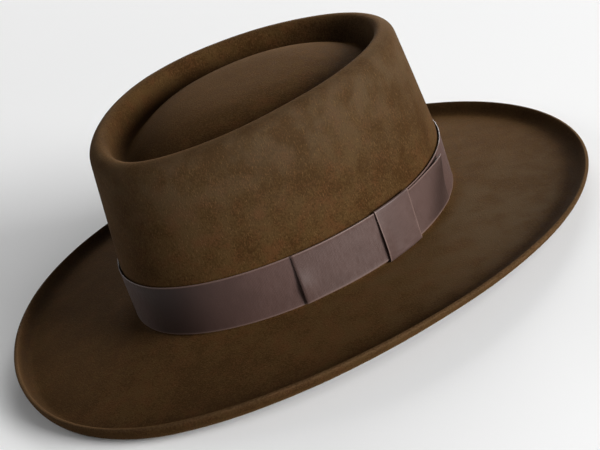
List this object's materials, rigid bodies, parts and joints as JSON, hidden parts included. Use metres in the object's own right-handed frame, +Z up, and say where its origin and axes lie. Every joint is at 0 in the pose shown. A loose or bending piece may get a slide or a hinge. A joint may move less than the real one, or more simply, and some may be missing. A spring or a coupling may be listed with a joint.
{
  "type": "gambler hat",
  "caption": "Felt gambler hat with an oval telescope crown, a wide brim with a curled edge, and a ribbon band with a flat side bow.",
  "frame": {"origin": "on the surface the hat rests on, below the middle of its outline", "axes": "+Z up through the crown; -Y is the front of the hat; +X is the wearer's left, where the bow is"},
  "size_m": [0.3228, 0.3541, 0.1144],
  "materials": {
    "felt": "matte fur felt with a short brushed nap",
    "ribbon": "satin-faced grosgrain with a soft sheen",
    "bow_ribbon": "satin-faced grosgrain with a soft sheen"
  },
  "bodies": {
    "root": {"felt_body": "felt", "ribbon_band": "ribbon", "bow_front_wing": "bow_ribbon", "bow_back_wing": "bow_ribbon", "bow_knot": "bow_ribbon"}
  },
  "joints": []
}
